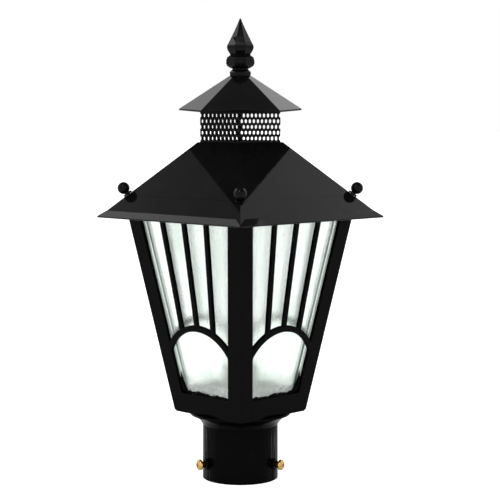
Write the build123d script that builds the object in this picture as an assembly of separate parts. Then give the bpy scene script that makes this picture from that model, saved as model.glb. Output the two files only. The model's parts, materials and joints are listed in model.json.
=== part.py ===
from build123d import *
import os
from math import atan, cos, degrees, pi, radians, sin, sqrt

# Post top lantern. Millimetres. +Z is up, the origin is the centre of the neck's bottom rim,
# and the four glazed sides face +X, +Y, -X and -Y. One STEP file per piece. Pieces that come
# four times are numbered round from +X, or from the +X+Y corner.

# ---------------------------------------------------------------- driving sizes
screw_play = 0.05           # radial play of a screw in its thread
hole_play = 0.2             # radial play of a shank in a plain hole

# Neck
post_od = 76.2              # the round post that the neck slips over
post_play = 0.6             # radial play between post and neck
neck_wall = 1.5
neck_height = 57.0
neck_rim_break = 0.4

# Clamp screws in the neck
clamp_count = 3
clamp_first_angle = 15.0    # azimuth of the first one
clamp_height = 18.0
clamp_shank_r = 2.95
clamp_point = 0.5           # bevel at the tip
clamp_tip_back = 0.1        # how far the tip stops short of the bore at rest
clamp_shank_free = 8.2      # bare shank between neck and head
clamp_head_r = 5.6
clamp_head_rim = 1.5
clamp_head_dome = 2.6
clamp_recess_length = 5.0
clamp_recess_width = 1.3
clamp_recess_depth = 1.8
clamp_nut_flats = 10.0
clamp_nut_out = 3.0         # how far a weld nut stands off the neck

# Flared collar
collar_rise = 13.5          # neck top to cage bottom
collar_rim_beyond = 4.1     # rim radius, over half the cage's bottom width
collar_rim_thk = 2.3
collar_wall = 1.9
collar_belly = 0.45         # how hollow the flare is, 0 for a straight cone
flange_thk = 2.0
flange_width = 20.7         # level flange under the base plate, in from the rim
spigot_depth = 10.0         # the post stops against the spigot's end
spigot_recess = 0.5         # how much the neck's mouth is bored out for the spigot
spigot_play = 0.05
spigot_wall = 2.3

# Cage
cage_height = 217.5
cage_bottom_half = 49.6     # half the outside width at the bottom
cage_flare = 0.1705         # outward lean of each side, as a slope
frame_thk = 4.0             # posts, rails, bars and arches
post_leg = 18.2             # width of each leg of a corner post
post_toe = 2.5              # chamfer at the foot of a post
bottom_rail_height = 21.7
head_rail_height = 10.0
bar_width = 5.2
bar_count = 3
arch_crown = 90.6           # underside of the arch, above the cage bottom
arch_inner_r = 50.0
arch_width = 6.5
arch_spring = 50.0          # below this height, up the slope, an arch has died into the posts

# Base plate and the screws that hold it on the collar
base_thk = 3.0
base_screw_r = 2.0
base_screw_inset = 10.7     # screw axis, in from the collar's rim
base_screw_length = 7.0
base_screw_head_r = 3.6
base_screw_head = 2.4
base_screw_bevel = 0.8
base_screw_slot = 1.0

# Glass and its clips, up the slope of a side
pane_thk = 3.0
pane_play = 0.1
pane_lap_bottom = 11.7      # how far a pane laps behind the rails
pane_lap_top = 5.5
pane_inset = 17.3           # pane edge to cage corner
clip_width = 8.0
clip_thk = 1.2
clip_lip = 7.0
clip_spread_bottom = 14.0
clip_spread_top = 38.0

# Main roof
eave_below_cage_top = 10.4
eave_overhang = 23.5        # beyond the cage, level with the eave
roof_rise = 81.0
roof_ledge = 1.9            # roof's top edge beyond the vent band
roof_thk = 1.2
hem_width = 9.0
hem_fold_thk = 1.3
hem_edge_thk = 2.3
hem_edge_break = 0.5
hem_mitre = 9.0             # how much sooner the free edge of a hem stops than its panel

# Lugs and ball screws at the hips
lug_beyond_cage = 2.7
lug_size = 19.5
lug_head = 15.0
ball_screw_inset = 2.4      # screw axis on the hip, inside the cage's corner
ball_r = 6.6
ball_out = 8.4              # ball centre, out from the hip
ball_neck_r = 2.9
ball_flange_r = 5.0
ball_flange_thk = 2.0
ball_shank_r = 2.5
ball_shank_in = 15.0

# Vent band
vent_half = 30.5
vent_thk = 1.2
vent_frame_thk = 1.8
vent_frame_open = 24.0
vent_rows = 5
vent_row_pitch = 6.15
vent_first_row = 3.9        # above the main roof's top
vent_pitch = 6.12
vent_first_hole = 5.3      # along the strip from its seam, at the -X+Y corner
vent_seam = 0.8             # plain metal at the seam
vent_hole_half_width = 2.2
vent_hole_half_height = 2.55
vent_hole_shoulder = 1.3
vent_lid_thk = 1.5

# Upper roof: eight facets, between four corners and four creases half way between them
cap_tip_r = 65.7
cap_tip_above_roof = 35.8
cap_mid_r = 58.4
cap_mid_drop = 2.2
cap_rise = 42.9             # corner to apex
cap_apex_flat = 0.3
cap_thk = 1.4

# Finial stud, through the upper roof and the lid
stud_r = 3.0
stud_into_finial = 19.0
stud_tail = 2.0
stud_nut_flats = 10.0
stud_nut_height = 4.0
stud_washer_r = 6.5
stud_washer_thk = 1.2

# Finial: (flat radius, height above the upper roof's apex)
seat_profile = [(10.9, -7.9), (11.4, -4.1), (10.7, -2.9), (8.7, -1.3), (8.4, 0.0)]
knob_profile = [
    (9.0, 0.0), (11.1, 0.9), (14.0, 2.7), (15.3, 5.6), (15.0, 8.9), (14.2, 11.9), (11.7, 13.7),
]
spear_profile = [
    (10.6, 14.7), (11.3, 15.9), (13.2, 19.1), (14.2, 21.7), (14.3, 23.1), (13.9, 25.0),
    (12.3, 28.1), (9.1, 34.6), (6.0, 41.2), (3.0, 47.9), (1.7, 51.1), (0.7, 53.8),
]
finial_sides = 8

# Lamp holder
holder_height = 46.0
holder_foot_r = 20.0
holder_foot = 14.0
holder_mouth_r = 18.5
holder_step = 2.0
holder_mouth_break = 1.5
lamp_thread_r = 13.3
lamp_thread_length = 26.0
shell_wall = 0.5
shell_below_mouth = 3.0
contact_space = 2.5
contact_r = 4.0
contact_height = 2.2
nipple_r = 5.0
nipple_bore_r = 3.5
nipple_into_holder = 9.0
nipple_tail = 7.0
nipple_nut_flats = 14.0
nipple_nut_height = 4.0

# ---------------------------------------------------------------- sizes that follow
beyond = 400.0              # longer than any cut needs to be
quarter_turn = 90.0
bore_r = post_od / 2 + post_play
neck_r = bore_r + neck_wall

cage_bottom_z = neck_height + collar_rise
cage_top_z = cage_bottom_z + cage_height
base_top_z = cage_bottom_z + base_thk
collar_rim_r = cage_bottom_half + collar_rim_beyond
collar_hole_r = collar_rim_r - flange_width
base_screw_at = collar_rim_r - base_screw_inset
lean = atan(cage_flare)
frame_thk_level = frame_thk / cos(lean)


def cage_half(z):
    """Half the outside width of the cage at a height."""
    return cage_bottom_half + (z - cage_bottom_z) * cage_flare


def clear_half(z):
    """Half the clear width between two corner posts at a height."""
    return cage_half(z) - post_leg


eave_z = cage_top_z - eave_below_cage_top
eave_half = cage_half(eave_z) + eave_overhang
roof_top_z = eave_z + roof_rise
roof_top_half = vent_half + roof_ledge
roof_spread = (eave_half - roof_top_half) / roof_rise
roof_pitch = atan(1 / roof_spread)
roof_thk_upright = roof_thk / cos(roof_pitch)
hip_slope = 1 / (roof_spread * sqrt(2))

ball_screw_at = cage_half(cage_top_z) * sqrt(2) - ball_screw_inset
ball_screw_z = eave_z + (eave_half * sqrt(2) - ball_screw_at) * hip_slope

cap_tip_z = roof_top_z + cap_tip_above_roof
cap_apex_z = cap_tip_z + cap_rise
cap_slope = cap_rise / cap_tip_r
cap_mid_slope = (cap_rise + cap_mid_drop) / cap_mid_r
cap_thk_upright = cap_thk / cos(atan(cap_mid_slope))
lid_top_z = cap_apex_z - cap_thk_upright - vent_half * sqrt(2) * cap_slope
vent_top_z = lid_top_z - vent_lid_thk

stud_nut_z = vent_top_z - stud_washer_thk - stud_nut_height
stud_top_z = cap_apex_z + stud_into_finial

holder_top_z = base_top_z + holder_height
thread_bottom_z = holder_top_z - shell_below_mouth - lamp_thread_length
holder_floor_z = thread_bottom_z - contact_space


# ---------------------------------------------------------------- helpers
def polyhedron(rings):
    """Solid with flat facets: a stack of rings of points, closed by the first and the last."""
    faces = [Face(Wire.make_polygon(rings[0])), Face(Wire.make_polygon(rings[-1]))]
    for low, high in zip(rings, rings[1:]):
        for k in range(len(low)):
            j = (k + 1) % len(low)
            faces.append(Face(Wire.make_polygon([low[k], low[j], high[j], high[k]])))
    return Part() + Solid(Shell(faces))


def slab(low, low_z, high, high_z):
    """Straight-sided solid between two level outlines with the same number of corners."""
    return polyhedron([[(x, y, low_z) for x, y in low], [(x, y, high_z) for x, y in high]])


def square(half):
    return [(half, -half), (half, half), (-half, half), (-half, -half)]


def frustum(low_half, low_z, high_half, high_z):
    return slab(square(low_half), low_z, square(high_half), high_z)


def upright(radius, low_z, high_z, x=0.0):
    """Cylinder along Z between two heights."""
    standing = (Align.CENTER, Align.CENTER, Align.MIN)
    return Pos(x, 0, low_z) * Cylinder(radius, high_z - low_z, align=standing)


def shaft_cut(radius, x=0.0):
    """Cylinder along Z that is longer than anything it cuts."""
    return upright(radius, -beyond, 2 * beyond, x)


def block(low, high):
    size = [b - a for a, b in zip(low, high)]
    return Pos(*low) * Box(*size, align=(Align.MIN, Align.MIN, Align.MIN))


def turned(*outline):
    """Solid of revolution about Z from the edges of a closed (radius, height) outline."""
    return revolve(Plane.XZ * make_face(outline), Axis.Z)


def path(*points):
    return Polyline(*points)


def along_x(shape):
    """Lays a shape made along +Z down along +X."""
    return Rot(0, 90, 0) * shape


def hexagon(flats, low_z, high_z):
    return Pos(0, 0, low_z) * extrude(RegularPolygon(flats / 2, 6, major_radius=False), high_z - low_z)


def faceted(profile, base_z):
    """Cast shape with a flat facet to each side, from (flat radius, height) points."""
    corners = [radians(360 * (k + 0.5) / finial_sides) for k in range(finial_sides)]
    reach = 1 / cos(pi / finial_sides)
    rings = [[(r * reach * cos(a), r * reach * sin(a), base_z + h) for a in corners] for r, h in profile]
    return polyhedron(rings)


def ring_of(piece, angles):
    return [Rot(0, 0, angle) * piece for angle in angles]


def save(name, *shapes):
    solids = [s for shape in shapes for s in shape.solids()]
    export_step(solids[0] if len(solids) == 1 else Compound(children=solids), f"parts/{name}.step")


def save_each(name, piece, angles):
    """Writes the same piece at each azimuth, numbered from 1."""
    for k, turned_piece in enumerate(ring_of(piece, angles)):
        save(f"{name}_{k + 1}", turned_piece)


os.makedirs("parts", exist_ok=True)
quarters = [0, 90, 180, 270]
corners_at = [45, 135, 225, 315]
clamp_angles = [clamp_first_angle + 360 / clamp_count * k for k in range(clamp_count)]

# ---------------------------------------------------------------- neck and its clamp screws
recess_r = bore_r + spigot_recess
spigot_z = neck_height - spigot_depth
neck = upright(neck_r, 0, neck_height) - shaft_cut(bore_r) - upright(recess_r, spigot_z, neck_height)
neck = chamfer(neck.edges().group_by(Axis.Z)[0], neck_rim_break)

clamp_hole = along_x(upright(clamp_shank_r + screw_play, 0, beyond))
clamp_nut = along_x(hexagon(clamp_nut_flats, bore_r, neck_r + clamp_nut_out))
clamp_nut = clamp_nut - shaft_cut(neck_r) - clamp_hole

tip = bore_r + clamp_tip_back
head = neck_r + clamp_shank_free
rim = head + clamp_head_rim
crown = rim + clamp_head_dome
dome = EllipticalCenterArc((0, rim), clamp_head_r, clamp_head_dome, arc_size=quarter_turn)
clamp_screw = turned(
    path(
        (0, crown), (0, tip), (clamp_shank_r - clamp_point, tip), (clamp_shank_r, tip + clamp_point),
        (clamp_shank_r, head), (clamp_head_r, head), (clamp_head_r, rim),
    ),
    dome,
)
recess_z = crown - clamp_recess_depth
for length, width in (
    (clamp_recess_length, clamp_recess_width), (clamp_recess_width, clamp_recess_length)
):
    half_length, half_width = length / 2, width / 2
    slot = block((-half_length, -half_width, recess_z), (half_length, half_width, beyond))
    clamp_screw = clamp_screw - slot
clamp_screw = along_x(clamp_screw)

level = Pos(0, 0, clamp_height)
for hole in ring_of(clamp_hole, clamp_angles):
    neck = neck - level * hole
save("post_neck", neck)
save("clamp_nuts", *ring_of(level * clamp_nut, clamp_angles))
save_each("clamp_screw", level * clamp_screw, clamp_angles)

# ---------------------------------------------------------------- flared collar
spigot_r = recess_r - spigot_play
spigot_inner_r = spigot_r - spigot_wall
flange_z = cage_bottom_z - flange_thk
rim_z = cage_bottom_z - collar_rim_thk


def flare(low, high):
    """Hollow curve from the neck out to the rim; both ends are (radius, height)."""
    middle = ((low[0] + high[0]) / 2, (low[1] + high[1]) / 2)
    bow = collar_belly * (high[1] - low[1]) / 4
    return ThreePointArc(low, (middle[0] - bow, middle[1] + bow), high)


outer_low, outer_high = (neck_r, neck_height), (collar_rim_r, rim_z)
inner_low, inner_high = (spigot_inner_r, neck_height), (collar_rim_r - 2 * collar_wall, flange_z)
collar = turned(
    flare(outer_low, outer_high),
    path(
        outer_high, (collar_rim_r, cage_bottom_z), (collar_hole_r, cage_bottom_z),
        (collar_hole_r, flange_z), inner_high,
    ),
    flare(inner_low, inner_high),
    path(inner_low, (spigot_inner_r, spigot_z), (spigot_r, spigot_z), (spigot_r, neck_height), outer_low),
)

# ---------------------------------------------------------------- base plate and its screws
base_low_half = cage_half(cage_bottom_z) - frame_thk_level
base_high_half = cage_half(base_top_z) - frame_thk_level
base = frustum(base_low_half, cage_bottom_z, base_high_half, base_top_z)
base = base - shaft_cut(nipple_r + hole_play)

base_screw_top = base_top_z + base_screw_head
base_head = upright(base_screw_head_r, base_top_z, base_screw_top)
base_head = chamfer(base_head.edges().group_by(Axis.Z)[-1], base_screw_bevel)
base_screw = base_head + upright(base_screw_r, base_top_z - base_screw_length, base_top_z)
slot_half = base_screw_slot / 2
base_screw = base_screw - block(
    (-beyond, -slot_half, base_screw_top - base_screw_slot), (beyond, slot_half, beyond)
)
base_screw = Pos(base_screw_at, 0, 0) * base_screw
for hole in ring_of(shaft_cut(base_screw_r + screw_play, base_screw_at), corners_at):
    base = base - hole
    collar = collar - hole
save("collar", collar)
save("base_plate", base)
save("base_screws", *ring_of(base_screw, corners_at))


# ---------------------------------------------------------------- corner posts
def post_outline(z):
    outer = cage_half(z)
    edge = outer - post_leg
    inner = outer - frame_thk_level
    return [(outer, outer), (edge, outer), (edge, inner), (inner, inner), (inner, edge), (outer, edge)]


corner_post = slab(post_outline(cage_bottom_z), cage_bottom_z, post_outline(cage_top_z), cage_top_z)
toe = Rot(0, 0, 45) * Pos(cage_bottom_half * sqrt(2), 0, cage_bottom_z) * Rot(0, 45, 0)
corner_post = corner_post - toe * Box(post_toe, beyond, post_toe)
save_each("corner_post", corner_post, quarters)


# ---------------------------------------------------------------- rails, bars and arches of one side
def side_strip(low_z, high_z, low_edges, high_edges):
    """Part of a side's frame between two heights; edges are (from, to) across the side."""
    outlines = []
    for z, (a, b) in ((low_z, low_edges), (high_z, high_edges)):
        outer = cage_half(z)
        inner = outer - frame_thk_level
        outlines.append([(outer, a), (outer, b), (inner, b), (inner, a)])
    return slab(outlines[0], low_z, outlines[1], high_z)


def rail(low_z, high_z):
    low, high = clear_half(low_z), clear_half(high_z)
    return side_strip(low_z, high_z, (-low, low), (-high, high))


head_rail_z = cage_top_z - head_rail_height
save_each("bottom_rail", rail(cage_bottom_z, cage_bottom_z + bottom_rail_height), quarters)
save("head_rails", *ring_of(rail(head_rail_z, cage_top_z), quarters))

side_plane = Plane(
    origin=(cage_bottom_half, 0, cage_bottom_z), x_dir=(0, 1, 0), z_dir=(cos(lean), 0, -sin(lean))
)
arch_centre = Pos(0, arch_crown / cos(lean) - arch_inner_r)
arch_disc = arch_centre * Circle(arch_inner_r + arch_width)
above_spring = Rectangle(2 * clear_half(cage_top_z), beyond, align=(Align.CENTER, Align.MIN))
above_spring = Pos(0, arch_spring) * above_spring
arch_outline = (arch_disc - arch_centre * Circle(arch_inner_r)) & above_spring
arch = extrude(side_plane * arch_outline, -frame_thk)
between_posts = rail(cage_bottom_z, cage_top_z)
save_each("arch_ring", arch & between_posts, quarters)

arch_solid = extrude(side_plane * arch_disc, beyond, both=True)
bars = []
for k in range(bar_count):
    share = 2 * (k + 1) / (bar_count + 1) - 1
    low, high = clear_half(cage_bottom_z) * share, clear_half(head_rail_z) * share
    half = bar_width / 2
    bar = side_strip(cage_bottom_z, head_rail_z, (low - half, low + half), (high - half, high + half))
    bars.append((bar - arch_solid).solids().sort_by(Axis.Z)[-1])
for k, angle in enumerate(quarters):
    save(f"glazing_bars_{k + 1}", *[Rot(0, 0, angle) * bar for bar in bars])

# ---------------------------------------------------------------- glass and its clips
pane_low = bottom_rail_height / cos(lean) - pane_lap_bottom
pane_high = (head_rail_z - cage_bottom_z) / cos(lean) + pane_lap_top
pane_low_half = cage_bottom_half + pane_low * sin(lean) - pane_inset
pane_high_half = cage_bottom_half + pane_high * sin(lean) - pane_inset
pane_outline = Polygon(
    (-pane_low_half, pane_low), (pane_low_half, pane_low),
    (pane_high_half, pane_high), (-pane_high_half, pane_high),
    align=None,
)
back = -frame_thk
pane = extrude(side_plane.offset(back - pane_play) * pane_outline, -pane_thk)
save_each("glass_pane", pane, quarters)


def clip(across, edge, way):
    """Bent tab on a rail: it stops a pane's edge at edge and laps over the pane's inner face."""
    stop = edge + way * pane_play
    outer_end = stop + way * clip_thk
    inner_end = edge - way * clip_lip
    depth = pane_thk + 2 * pane_play

    def strip(a, b, front, thickness):
        outline = Pos(across, (a + b) / 2) * Rectangle(clip_width, abs(b - a))
        return extrude(side_plane.offset(front) * outline, -thickness)

    return strip(stop, outer_end, back, depth) + strip(inner_end, outer_end, back - depth, clip_thk)


clips = []
for side in (-1, 1):
    clips.append(clip(side * clip_spread_bottom, pane_low, -1))
    clips.append(clip(side * clip_spread_top, pane_high, 1))
save("glass_clips", *[turned_clip for c in clips for turned_clip in ring_of(c, quarters)])

# ---------------------------------------------------------------- main roof: four hemmed panels
roof_solid = frustum(eave_half, eave_z, roof_top_half, roof_top_z)
roof_extra = roof_thk_upright * 2
roof_inside = frustum(
    eave_half + roof_extra * roof_spread, eave_z - roof_extra - roof_thk_upright,
    roof_top_half - roof_extra * roof_spread, roof_top_z + roof_extra - roof_thk_upright,
)
quarter = extrude(Polygon((0, 0), (beyond, -beyond), (beyond, beyond), align=None), 2 * beyond)
roof_panel = (roof_solid - roof_inside) & quarter


def on_roof(up, out):
    """Point of the +X panel's section: up the slope from the eave, and out from its face."""
    x = eave_half - up * cos(roof_pitch) + out * sin(roof_pitch)
    z = eave_z + up * sin(roof_pitch) + out * cos(roof_pitch)
    return (x, z)


hem_section = Polygon(
    on_roof(0, 0), on_roof(hem_width, 0), on_roof(hem_width, hem_edge_thk - hem_edge_break),
    on_roof(hem_width - hem_edge_break, hem_edge_thk), on_roof(hem_edge_break, hem_fold_thk),
    on_roof(0, hem_fold_thk - hem_edge_break),
    align=None,
)
hem = extrude(Plane.XZ * hem_section, eave_half, both=True)
hem_run = hem_width * cos(roof_pitch)
hem_narrowing = (hem_run + hem_mitre) / hem_run
outer_x, inner_x = eave_half + 3 * hem_edge_thk, eave_half - 3 * hem_run
outer_y = eave_half + (outer_x - eave_half) * hem_narrowing
inner_y = eave_half + (inner_x - eave_half) * hem_narrowing
hem_field = Polygon(
    (outer_x, -outer_y), (outer_x, outer_y), (inner_x, inner_y), (inner_x, -inner_y), align=None
)
roof_panel = roof_panel + (hem & extrude(hem_field, 2 * beyond) & quarter)

# ---------------------------------------------------------------- lugs and ball screws at the hips
hip = Rot(0, 0, 45) * Pos(ball_screw_at, 0, ball_screw_z) * Rot(0, degrees(atan(hip_slope)), 0)
hip_hole = hip * upright(ball_shank_r + hole_play, -ball_shank_in, ball_shank_in)
for angle in (0, -90):
    roof_panel = roof_panel - Rot(0, 0, angle) * hip_hole
save_each("roof_panel", roof_panel, quarters)

lug_outer = cage_half(cage_top_z) + lug_beyond_cage
lug_inner = lug_outer - lug_size
lug = block((lug_inner, lug_inner, cage_top_z), (lug_outer, lug_outer, cage_top_z + lug_head)) & roof_inside
lug = lug - hip * upright(ball_shank_r + screw_play, -2 * ball_shank_in, ball_shank_in)
save("corner_lugs", *ring_of(lug, quarters))

ball_screw = Pos(0, 0, ball_out) * Sphere(ball_r)
ball_screw = ball_screw + upright(ball_neck_r, 0, ball_out)
ball_screw = ball_screw + upright(ball_flange_r, 0, ball_flange_thk)
ball_screw = ball_screw + upright(ball_shank_r, -ball_shank_in, 0)
save_each("ball_screw", hip * ball_screw, quarters)

# ---------------------------------------------------------------- vent band
frame_top_half = roof_top_half - roof_thk_upright * roof_spread
vent_frame = frustum(
    frame_top_half + vent_frame_thk * roof_spread, roof_top_z - vent_frame_thk, frame_top_half, roof_top_z
)
vent_frame_hole = Pos(0, 0, roof_top_z) * Box(2 * vent_frame_open, 2 * vent_frame_open, beyond)
save("vent_frame", vent_frame - vent_frame_hole)

vent_inner = vent_half - vent_thk
vent_outline = Polygon(
    (vent_half, -vent_half), (vent_half, vent_half), (vent_inner, vent_inner), (vent_inner, -vent_inner),
    align=None,
)
vent_panel = Pos(0, 0, roof_top_z) * extrude(vent_outline, vent_top_z - roof_top_z)
w, h, shoulder = vent_hole_half_width, vent_hole_half_height, vent_hole_shoulder
vent_hole = Polygon(
    (0, h), (-w, shoulder), (-w, -shoulder), (0, -h), (w, -shoulder), (w, shoulder), align=None
)
vent_plane = Plane(origin=(vent_inner, 0, roof_top_z), x_dir=(0, 1, 0), z_dir=(1, 0, 0))
vent_side = 2 * vent_half
vent_strip = len(quarters) * vent_side


def vent_punch(start):
    """Punches for the part of the strip that begins this far from its seam."""
    holes = []
    for row in range(vent_rows):
        along = vent_first_hole + row % 2 * vent_pitch / 2
        while along + w + vent_seam < vent_strip:
            across = along - start - vent_half
            if abs(across) < vent_half + w:
                holes.append(Pos(across, vent_first_row + row * vent_row_pitch) * vent_hole)
            along += vent_pitch
    return extrude(vent_plane * (Sketch() + holes), 2 * vent_thk, both=True)


for k, angle in enumerate(quarters):
    start = (k + 2) % len(quarters) * vent_side
    save(f"vent_panel_{k + 1}", Rot(0, 0, angle) * (vent_panel - vent_punch(start)))


# ---------------------------------------------------------------- upper roof and the lid it rests on
def cap_radii(z):
    """Radius of the upper roof's creases and corners at a height, before it is trimmed."""
    return (cap_apex_z - z) / cap_mid_slope, (cap_apex_z - z) / cap_slope


def cap_outline(crease_r, corner_r):
    radii = [crease_r, corner_r] * 4
    return [(r * cos(radians(45 * k)), r * sin(radians(45 * k))) for k, r in enumerate(radii)]


cap_low_z = cap_tip_z - cap_rise / 2
cap_high_z = cap_apex_z - cap_apex_flat
cap_low, cap_high = cap_outline(*cap_radii(cap_low_z)), cap_outline(*cap_radii(cap_high_z))
cap_solid = slab(cap_low, cap_low_z, cap_high, cap_high_z)
cap_trim = extrude(Polygon(*cap_outline(cap_mid_r, cap_tip_r), align=None), 2 * beyond)
stud_hole = shaft_cut(stud_r + hole_play)
upper_roof = (cap_solid - Pos(0, 0, -cap_thk_upright) * cap_solid) & cap_trim
upper_roof = (upper_roof - stud_hole).solids().sort_by(SortBy.VOLUME)[-1]
save("upper_roof", upper_roof)
vent_lid = block((-vent_half, -vent_half, vent_top_z), (vent_half, vent_half, lid_top_z))
save("vent_lid", vent_lid - stud_hole)

# ---------------------------------------------------------------- finial on its stud
save("finial_stud", upright(stud_r, stud_nut_z - stud_tail, stud_top_z))
stud_nut = hexagon(stud_nut_flats, stud_nut_z, stud_nut_z + stud_nut_height)
save("stud_nut", stud_nut - shaft_cut(stud_r + screw_play))
save("stud_washer", upright(stud_washer_r, vent_top_z - stud_washer_thk, vent_top_z) - stud_hole)

finial_seat = faceted(seat_profile, cap_apex_z) - cap_solid - stud_hole
save("finial_seat", finial_seat.solids().sort_by(SortBy.VOLUME)[-1])
finial = faceted(knob_profile + spear_profile, cap_apex_z)
finial = finial - upright(stud_r + screw_play, 0, stud_top_z + screw_play)
save("finial", finial)

# ---------------------------------------------------------------- lamp holder on its hollow nipple
cavity_r = lamp_thread_r + shell_wall + screw_play
foot_z = base_top_z + holder_foot
mouth_edge_r, mouth_edge_z = holder_mouth_r - holder_mouth_break, holder_top_z - holder_mouth_break
holder = turned(path(
    (0, base_top_z), (holder_foot_r, base_top_z), (holder_foot_r, foot_z),
    (holder_mouth_r, foot_z + holder_step), (holder_mouth_r, mouth_edge_z), (mouth_edge_r, holder_top_z),
    (cavity_r, holder_top_z), (cavity_r, holder_floor_z), (0, holder_floor_z), (0, base_top_z),
))
nipple_top_z = base_top_z + nipple_into_holder
holder = holder - upright(nipple_r + screw_play, 0, nipple_top_z)
save("holder_body", holder)
shell = upright(lamp_thread_r + shell_wall, thread_bottom_z, thread_bottom_z + lamp_thread_length)
save("holder_shell", shell - shaft_cut(lamp_thread_r))
save("holder_contact", upright(contact_r, holder_floor_z, holder_floor_z + contact_height))
nipple = upright(nipple_r, cage_bottom_z - nipple_tail, nipple_top_z)
save("holder_nipple", nipple - shaft_cut(nipple_bore_r))
nipple_nut = hexagon(nipple_nut_flats, cage_bottom_z - nipple_nut_height, cage_bottom_z)
save("nipple_nut", nipple_nut - shaft_cut(nipple_r + screw_play))
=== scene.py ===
import bpy
import math
from mathutils import Euler, Matrix, Vector
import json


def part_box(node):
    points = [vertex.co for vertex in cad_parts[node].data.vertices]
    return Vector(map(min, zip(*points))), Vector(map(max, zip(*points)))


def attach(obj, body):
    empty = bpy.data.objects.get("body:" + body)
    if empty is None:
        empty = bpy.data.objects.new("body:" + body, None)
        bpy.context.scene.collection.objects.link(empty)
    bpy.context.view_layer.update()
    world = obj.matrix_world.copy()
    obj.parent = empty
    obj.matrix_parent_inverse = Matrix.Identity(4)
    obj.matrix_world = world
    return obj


# Post top lantern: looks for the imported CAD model. Metres, +Z up. The four glazed sides face
# +X, +Y, -X and -Y, and the camera looks at the (+X, -Y) corner. Azimuths run in degrees from -Y
# towards +X.

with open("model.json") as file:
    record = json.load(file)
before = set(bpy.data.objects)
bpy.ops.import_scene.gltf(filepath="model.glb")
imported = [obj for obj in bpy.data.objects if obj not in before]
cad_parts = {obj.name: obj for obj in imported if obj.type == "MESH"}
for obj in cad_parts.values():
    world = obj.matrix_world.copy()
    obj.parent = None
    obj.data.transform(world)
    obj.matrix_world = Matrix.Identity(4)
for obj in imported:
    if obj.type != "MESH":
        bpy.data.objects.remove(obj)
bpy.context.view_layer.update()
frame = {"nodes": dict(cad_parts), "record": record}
nodes = frame["nodes"]

# ---------------------------------------------------------------- camera
VIEW_AZIMUTH = math.radians(45)
EYE_DISTANCE = 1.6095        # from the lantern's axis, level
EYE_HEIGHT = 0.3844
LENS_MM = 108
SENSOR_MM = 36
SHIFT_RIGHT = 0.0194
SHIFT_UP = -0.264            # the eye is level with the vent band, above the picture's middle


def add_camera():
    """Level camera, shifted so that upright edges stay upright."""
    data = bpy.data.cameras.new("camera")
    data.sensor_width = SENSOR_MM
    data.lens = LENS_MM
    data.shift_x = SHIFT_RIGHT
    data.shift_y = SHIFT_UP
    data.clip_start = 0.01
    data.clip_end = 60
    camera = bpy.data.objects.new("camera", data)
    bpy.context.scene.collection.objects.link(camera)
    camera.location = (
        EYE_DISTANCE * math.sin(VIEW_AZIMUTH), -EYE_DISTANCE * math.cos(VIEW_AZIMUTH), EYE_HEIGHT
    )
    camera.rotation_euler = (math.radians(90), 0, VIEW_AZIMUTH)
    bpy.context.scene.camera = camera


# ---------------------------------------------------------------- node helpers
class Tree:
    """Short way to write a material's or the world's node tree."""

    def __init__(self, owner):
        owner.use_nodes = True
        self.tree = owner.node_tree
        self.tree.nodes.clear()

    def add(self, kind, **settings):
        node = self.tree.nodes.new("ShaderNode" + kind)
        for name, value in settings.items():
            setattr(node, name, value)
        return node

    def link(self, source, target):
        self.tree.links.new(source, target)

    def feed(self, socket, value):
        """Sets a socket, or links it when the value is another socket."""
        if isinstance(value, bpy.types.NodeSocket):
            self.link(value, socket)
        else:
            socket.default_value = value

    def math(self, operation, a, b=0.0, clamp=False):
        node = self.add("Math", operation=operation, use_clamp=clamp)
        self.feed(node.inputs[0], a)
        self.feed(node.inputs[1], b)
        return node.outputs[0]

    def times(self, a, b):
        return self.math("MULTIPLY", a, b)

    def greatest(self, a, b):
        return self.math("MAXIMUM", a, b)

    def size_of(self, value):
        return self.math("ABSOLUTE", value)

    def span(self, value, low, high, to_low=0.0, to_high=1.0):
        """Smooth step of a value between two limits."""
        node = self.add("MapRange", interpolation_type="SMOOTHSTEP")
        for name, number in (("Value", value), ("From Min", low), ("From Max", high),
                             ("To Min", to_low), ("To Max", to_high)):
            self.feed(node.inputs[name], number)
        return node.outputs[0]

    def mix(self, factor, a, b):
        node = self.add("Mix", data_type="RGBA")
        self.feed(node.inputs[0], factor)
        self.feed(node.inputs[6], a)
        self.feed(node.inputs[7], b)
        return node.outputs[2]

    def axes(self, kind="Object"):
        """One kind of coordinates, as its three numbers."""
        node = self.add("SeparateXYZ")
        self.link(self.add("TexCoord").outputs[kind], node.inputs[0])
        return node.outputs["X"], node.outputs["Y"], node.outputs["Z"]

    def place(self, scale=(1, 1, 1)):
        """Object coordinates, stretched."""
        node = self.add("Mapping")
        node.inputs["Scale"].default_value = scale
        self.link(self.add("TexCoord").outputs["Object"], node.inputs["Vector"])
        return node.outputs[0]

    def noise(self, place, scale, detail=2.0, roughness=0.5, distortion=0.0):
        node = self.add("TexNoise")
        self.link(place, node.inputs["Vector"])
        node.inputs["Scale"].default_value = scale
        node.inputs["Detail"].default_value = detail
        node.inputs["Roughness"].default_value = roughness
        node.inputs["Distortion"].default_value = distortion
        return node.outputs["Fac"]

    def bump(self, height, strength, distance, before=None):
        node = self.add("Bump")
        node.inputs["Strength"].default_value = strength
        node.inputs["Distance"].default_value = distance
        self.link(height, node.inputs["Height"])
        if before is not None:
            self.link(before, node.inputs["Normal"])
        return node.outputs[0]

    def choose(self, chance, a, b):
        """Mixes two shaders, from a to b."""
        node = self.add("MixShader")
        self.link(chance, node.inputs[0])
        self.link(a, node.inputs[1])
        self.link(b, node.inputs[2])
        return node.outputs[0]


def grey(level):
    return (level, level, level, 1)


def new_finish(name):
    """A material, its tree, and the main shader, already linked to the surface."""
    material = bpy.data.materials.new(name)
    t = Tree(material)
    shader = t.add("BsdfPrincipled")
    end = t.add("OutputMaterial")
    t.link(shader.outputs[0], end.inputs["Surface"])
    return material, t, shader, end


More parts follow.
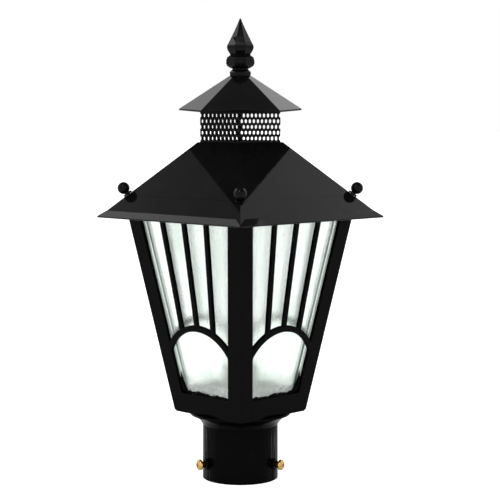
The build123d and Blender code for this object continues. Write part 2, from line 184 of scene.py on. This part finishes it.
# ---------------------------------------------------------------- world, floor and lamps
SOFT_LIGHT = 1.1             # of the world, as it lights the object
FLOOR_HALF = 30.0
FLOOR_GREY = 0.8
FLOOR_GLOW = 0.6             # lifts the floor to white in the picture, and keeps its shadow
LAMP_AIM_HEIGHT = 0.28


def add_world():
    """White studio backdrop, which turns dark above the lantern and faintly lit overhead."""
    world = bpy.data.worlds.new("studio")
    bpy.context.scene.world = world
    t = Tree(world)
    up = t.axes("Generated")[2]
    backdrop = t.span(up, 0.55, 0.69, 1.0, 0.03)
    ceiling = t.span(up, 0.71, 0.79, 0.0, 0.2)
    level = t.greatest(backdrop, ceiling)
    color = t.add("CombineXYZ")
    for channel in color.inputs:
        t.link(level, channel)
    shown = t.add("Background")
    t.link(color.outputs[0], shown.inputs["Color"])
    soft = t.add("Background")
    soft.inputs["Color"].default_value = grey(1)
    soft.inputs["Strength"].default_value = SOFT_LIGHT
    path = t.add("LightPath")
    seen = t.greatest(path.outputs["Is Camera Ray"], path.outputs["Is Glossy Ray"])
    seen = t.greatest(seen, path.outputs["Is Transmission Ray"])
    both = t.choose(seen, soft.outputs[0], shown.outputs[0])
    t.link(both, t.add("OutputWorld").inputs["Surface"])


def floor_finish():
    """Plain pale floor, lifted to white where the camera sees it, also through glass."""
    material = bpy.data.materials.new("floor_white")
    t = Tree(material)
    plain = t.add("BsdfDiffuse")
    plain.inputs["Color"].default_value = grey(FLOOR_GREY)
    glow = t.add("Emission")
    glow.inputs["Strength"].default_value = FLOOR_GLOW
    lit = t.add("AddShader")
    t.link(plain.outputs[0], lit.inputs[0])
    t.link(glow.outputs[0], lit.inputs[1])
    path = t.add("LightPath")
    seen = t.greatest(path.outputs["Is Camera Ray"], path.outputs["Is Transmission Ray"])
    both = t.choose(seen, plain.outputs[0], lit.outputs[0])
    t.link(both, t.add("OutputMaterial").inputs["Surface"])
    return material


def add_floor():
    """Flat square at the height of the neck's bottom rim."""
    corners = [(FLOOR_HALF * x, FLOOR_HALF * y, 0) for x, y in ((-1, -1), (1, -1), (1, 1), (-1, 1))]
    mesh = bpy.data.meshes.new("floor")
    mesh.from_pydata(corners, [], [(0, 1, 2, 3)])
    mesh.materials.append(floor_finish())
    floor = bpy.data.objects.new("floor", mesh)
    bpy.context.scene.collection.objects.link(floor)


def add_softbox(name, azimuth, elevation, size, radiance, shift=(0, 0), roll=0.0, distance=2.6):
    """Rectangular lamp aimed at the lantern's axis, then shifted in its own plane."""
    data = bpy.data.lights.new(name, "AREA")
    data.shape = "RECTANGLE"
    data.size, data.size_y = size
    data.energy = math.pi * size[0] * size[1] * radiance
    lamp = bpy.data.objects.new(name, data)
    bpy.context.scene.collection.objects.link(lamp)
    a, e = math.radians(azimuth), math.radians(elevation)
    away = Vector((math.sin(a) * math.cos(e), -math.cos(a) * math.cos(e), math.sin(e)))
    turn = away.to_track_quat("Z", "Y")
    offset = turn @ Vector((shift[0], shift[1], 0))
    lamp.location = Vector((0, 0, LAMP_AIM_HEIGHT)) + distance * away + offset
    lamp.rotation_euler = (turn @ Euler((0, 0, math.radians(roll))).to_quaternion()).to_euler()


# ---------------------------------------------------------------- where the cage's pieces lie
POST_LEG = 0.0182            # width of each leg of a corner post
PANE_INSET = 0.0173          # cut edge of a pane to the cage's corner
PANE_DEPTH = 0.00415         # outer face of a pane, in from the cage's face
PANE_THICK = 0.003
SHADE_LINE_FADES_IN = (0.0052, 0.0057)       # painted dark green shade line in a pane, in from its cut edge
SHADE_LINE_FADES_OUT = (0.0084, 0.0091)
HAZE_FADES_OUT = (0.0058, 0.0298)      # haze at a pane's foot, above the rail
HAZE_UNEVEN = 0.008


def reach(box):
    """How far a node's box goes from the axis, along X or Y."""
    return max(abs(corner[axis]) for corner in box for axis in (0, 1))


rail_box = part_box("bottom_rail_1")
post_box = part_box("corner_post_1")
RAIL_TOP = rail_box[1][2]
RAIL_TOP_HALF = reach(rail_box)
CAGE_FLARE = (reach(post_box) - RAIL_TOP_HALF) / (post_box[1][2] - RAIL_TOP)
CAGE_HALF_AT_ZERO = RAIL_TOP_HALF - RAIL_TOP * CAGE_FLARE


# ---------------------------------------------------------------- materials
def gloss_paint(name, base, rough, gloss, peel):
    """Black gloss paint on metal: faint orange peel, a little unevenness in the gloss."""
    material, t, shader, _ = new_finish(name)
    place = t.place()
    cloud = t.noise(place, 26, 4, 0.6)
    tone = t.mix(t.span(cloud, 0.35, 0.75), grey(base * 0.8), grey(base * 1.25))
    broad = t.bump(t.noise(place, 160, 2), peel * 2, 0.0004)
    t.link(tone, shader.inputs["Base Color"])
    t.link(t.span(cloud, 0.3, 0.8, rough * 0.85, rough * 1.3), shader.inputs["Roughness"])
    t.link(t.bump(t.noise(place, 900, 2), peel, 0.0002, broad), shader.inputs["Normal"])
    shader.inputs["Specular IOR Level"].default_value = gloss
    return material


def painted_cut_edge_shade(t, streak):
    """How much painted green shade a spot of a pane gets: a little at its cut edges, and most in a
    painted shade line beside the (+X, +Y) and (-X, -Y) corners."""
    x, y, z = t.axes()
    flare = t.times(z, CAGE_FLARE)
    across = t.math("MINIMUM", t.size_of(x), t.size_of(y))
    inward = t.math("SUBTRACT", t.math("ADD", flare, CAGE_HALF_AT_ZERO - PANE_INSET), across)
    edge_shade = t.span(inward, 0.0002, 0.0007, 0.3, 0.0)
    shade_line = t.times(t.span(inward, *SHADE_LINE_FADES_IN), t.span(inward, *SHADE_LINE_FADES_OUT, 1.0, 0.0))
    outward = t.math("SUBTRACT", t.greatest(t.size_of(x), t.size_of(y)), flare)
    outer_face = CAGE_HALF_AT_ZERO - PANE_DEPTH
    outer_half = t.span(outward, outer_face - 0.8 * PANE_THICK, outer_face - 0.53 * PANE_THICK)
    shade_line = t.times(shade_line, outer_half)
    # the painted shade line is kept only beside the (+X, +Y) and (-X, -Y) corners
    shade_line = t.times(shade_line, t.math("GREATER_THAN", t.times(x, y), 0.0))
    return t.greatest(edge_shade, t.times(shade_line, t.span(streak, 0.3, 0.6, 1.0, 0.75)))


def glass():
    """Sheet glass: upright streaks, a hazy mottled foot, and painted green shade near its cut edges."""
    material, t, shader, end = new_finish("sheet_glass")
    streak = t.noise(t.place((55, 55, 2.5)), 1.0, 3, 0.55, 0.3)
    mottle = t.noise(t.place((1, 1, 1.6)), 170, 3, 0.6)
    painted_green_shade = painted_cut_edge_shade(t, streak)
    above_rail = t.math("SUBTRACT", t.axes()[2], RAIL_TOP)
    uneven = t.math("ADD", above_rail, t.times(mottle, HAZE_UNEVEN))
    foot = t.span(uneven, *HAZE_FADES_OUT, 1.0, 0.0)
    haze = t.span(streak, 0.4, 0.75, 0.02, 0.12)
    haze = t.math("ADD", haze, t.times(foot, t.span(mottle, 0.3, 0.7, 0.1, 0.4)))
    haze = t.greatest(haze, t.times(painted_green_shade, 0.9))
    t.link(t.math("SUBTRACT", 1.0, haze, clamp=True), shader.inputs["Transmission Weight"])
    body = t.mix(t.span(streak, 0.45, 0.75), (0.98, 1, 0.985, 1), (0.88, 0.955, 0.90, 1))
    body = t.mix(t.times(foot, t.span(mottle, 0.35, 0.65)), body, (0.92, 0.98, 0.94, 1))
    # painted shade: dark green at the cut edges and in the line beside two outer corners
    t.link(t.mix(painted_green_shade, body, (0.012, 0.06, 0.04, 1)), shader.inputs["Base Color"])
    shader.inputs["Roughness"].default_value = 0.26
    shader.inputs["IOR"].default_value = 1.25
    t.link(t.bump(streak, 0.35, 0.0015), shader.inputs["Normal"])
    green = t.add("VolumeAbsorption")
    green.inputs["Color"].default_value = (0.30, 0.80, 0.55, 1)
    green.inputs["Density"].default_value = 9
    t.link(green.outputs[0], end.inputs["Volume"])
    return material


def metal(name, color, rough, grain=0.05):
    """Bare metal with cloudy tarnish and a fine grain."""
    material, t, shader, _ = new_finish(name)
    place = t.place()
    cloud = t.noise(place, 120, 4, 0.6)
    tarnish = tuple(0.72 * channel for channel in color) + (1,)
    t.link(t.mix(t.span(cloud, 0.4, 0.75), color + (1,), tarnish), shader.inputs["Base Color"])
    t.link(t.span(cloud, 0.3, 0.8, rough, rough * 1.6), shader.inputs["Roughness"])
    t.link(t.bump(t.noise(place, 1500, 2), grain, 0.0001), shader.inputs["Normal"])
    shader.inputs["Metallic"].default_value = 1.0
    return material


def porcelain():
    """White glazed porcelain with a few dull specks."""
    material, t, shader, _ = new_finish("white_porcelain")
    place = t.place()
    speck = t.noise(place, 300, 4, 0.7)
    tone = t.mix(t.span(speck, 0.62, 0.75), (0.86, 0.85, 0.80, 1), (0.70, 0.67, 0.60, 1))
    t.link(tone, shader.inputs["Base Color"])
    t.link(t.span(speck, 0.3, 0.8, 0.12, 0.25), shader.inputs["Roughness"])
    t.link(t.bump(t.noise(place, 200, 2), 0.05, 0.0003), shader.inputs["Normal"])
    shader.inputs["Coat Weight"].default_value = 0.5
    return material


FINISHES = {
    "frame_paint": gloss_paint("frame_black", base=0.0012, rough=0.16, gloss=0.03, peel=0.04),
    "base_paint": gloss_paint("base_black", base=0.0012, rough=0.22, gloss=0.03, peel=0.03),
    "roof_paint": gloss_paint("roof_black", base=0.003, rough=0.02, gloss=0.08, peel=0.004),
    "vent_paint": gloss_paint("vent_black", base=0.003, rough=0.25, gloss=0.06, peel=0.03),
    "finial_paint": gloss_paint("finial_black", base=0.002, rough=0.08, gloss=0.10, peel=0.02),
    "clear_glass": glass(),
    "polished_brass": metal("polished_brass", (0.74, 0.47, 0.16), rough=0.14),
    "zinc_steel": metal("zinc_steel", (0.62, 0.62, 0.60), rough=0.30, grain=0.15),
    "porcelain": porcelain(),
    "contact_brass": metal("contact_brass", (0.78, 0.58, 0.28), rough=0.28),
}

# width of the rounded edges of each finish
EDGES = {
    "frame_paint": 0.00045,
    "base_paint": 0.0003,
    "roof_paint": 0.0002,
    "vent_paint": 0.0001,
    "finial_paint": 0.0005,
    "clear_glass": 0.0002,
    "polished_brass": 0.0002,
    "zinc_steel": 0.0002,
    "porcelain": 0.0004,
    "contact_brass": 0.0001,
}
SHARP_ANGLE = math.radians(24)
WELD_DISTANCE = 0.000005


def dress(node, finish):
    """Gives a CAD node its finish, and rounds its sharp edges."""
    node.data.materials.clear()
    node.data.materials.append(FINISHES[finish])
    weld = node.modifiers.new("weld", "WELD")
    weld.merge_threshold = WELD_DISTANCE
    edge = node.modifiers.new("edge", "BEVEL")
    edge.width = EDGES[finish]
    edge.segments = 2
    edge.limit_method = "ANGLE"
    edge.angle_limit = SHARP_ANGLE
    edge.harden_normals = True
    edge.use_clamp_overlap = True


# ---------------------------------------------------------------- sealant, and painted shade at two corners
BEAD_STEPS = 72
BEAD_HEIGHT = 0.0026         # above the rail, before its waves
BEAD_WAVE = 0.0014
BEAD_RISE = 0.0008           # by which the heavy end is higher
BEAD_THIN = 0.0014
BEAD_THICK = 0.0030
SHADE_SMEAR_HEIGHT = 0.018         # painted shade: black smear up the pane at the heavy end
SHADE_SMEAR_WIDTH = 0.0075
BEAD_SUNK = 0.0004           # into the rail
BEAD_SHOULDER = 0.6          # height and place of the outer edge, as shares of the section
BEAD_TIP = 0.0002            # width of the top
BEAD_CLEAR = 0.0001          # of the glass, at the bottom
BEAD_TUCK = 0.001            # under a corner post, at each end
BEAD_END = RAIL_TOP_HALF - POST_LEG + BEAD_TUCK
PANE_FACE = RAIL_TOP_HALF - PANE_DEPTH     # outer face of a pane at the rail's top


def bead_section(y, heavy_end, phase):
    """Four corners of the bead's section at one place along the +X side."""
    wave = 0.5 * math.sin(210 * y + phase) + 0.3 * math.sin(470 * y + 2 * phase) + 0.2 * math.sin(900 * y)
    # painted shade: the black smear climbs the pane near the heavy end
    shade_smear = max(0.0, 1 - (BEAD_END - heavy_end * y) / SHADE_SMEAR_WIDTH)
    high = BEAD_HEIGHT + BEAD_WAVE * wave + BEAD_RISE * heavy_end * y / BEAD_END + SHADE_SMEAR_HEIGHT * shade_smear
    thick = BEAD_THIN + (BEAD_THICK - BEAD_THIN) * (1 + wave) / 2
    lean = CAGE_FLARE * high
    inner = PANE_FACE + BEAD_CLEAR
    low = RAIL_TOP - BEAD_SUNK
    return [
        (inner, y, low),
        (inner + thick, y, low),
        (PANE_FACE + lean + BEAD_SHOULDER * thick, y, RAIL_TOP + BEAD_SHOULDER * high),
        (PANE_FACE + lean + BEAD_TIP, y, RAIL_TOP + high),
    ]


def add_sealant_and_shade_smear(side, heavy_end):
    """Uneven bead of black sealant between a bottom rail and its pane, thick at one end, where a black
    smear up the pane is painted shade.
    """
    stations = [BEAD_END * (2 * k / BEAD_STEPS - 1) for k in range(BEAD_STEPS + 1)]
    points = [point for y in stations for point in bead_section(y, heavy_end, 1.0 + 0.9 * side)]
    last = 4 * BEAD_STEPS
    faces = [(0, 1, 2, 3), (last + 3, last + 2, last + 1, last)]
    for start in range(0, last, 4):
        for m in range(4):
            n = (m + 1) % 4
            faces.append((start + m, start + 4 + m, start + 4 + n, start + n))
    name = f"sealant_{side + 1}"
    mesh = bpy.data.meshes.new(name)
    mesh.from_pydata(points, [], faces)
    mesh.transform(Matrix.Rotation(math.radians(90 * side), 4, "Z"))
    mesh.polygons.foreach_set("use_smooth", [True] * len(mesh.polygons))
    mesh.update()
    mesh.materials.append(FINISHES["frame_paint"])
    bead = bpy.data.objects.new(name, mesh)
    bpy.context.scene.collection.objects.link(bead)
    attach(bead, "lantern")


# ---------------------------------------------------------------- the scene
for part in frame["record"]["subparts"]:
    dress(nodes[part["node"]], part["material_slot"])

# the heavy ends, with their painted shade smears, meet at the (+X, +Y) and (-X, -Y) corners
for side in range(4):
    add_sealant_and_shade_smear(side, heavy_end=1 if side % 2 == 0 else -1)

add_camera()
add_world()
add_floor()

# what the left roof panel and its hem reflect, then the right ones
add_softbox("soft_left", -77, 40, (0.9, 0.7), 0.45, shift=(0.03, -0.10), roll=27)
add_softbox("hem_left", -77, 40, (0.56, 0.56), 4.0, shift=(0.44, -0.04))
add_softbox("soft_right", 167, 40, (0.75, 0.7), 1.3, shift=(-0.05, -0.08), roll=-29)
add_softbox("hem_right", 167, 40, (0.56, 0.46), 2.0, shift=(-0.44, -0.18))

# what the outer facets of the upper roof reflect
add_softbox("back_left", -110, 31, (0.7, 0.5), 0.9)
add_softbox("back_right", 200, 31, (0.7, 0.5), 1.7)

# the main soft light, from above and left of the camera
add_softbox("soft_front", 20, 50, (1.2, 1.2), 4.0)

view = bpy.context.scene.view_settings
view.view_transform = "Standard"
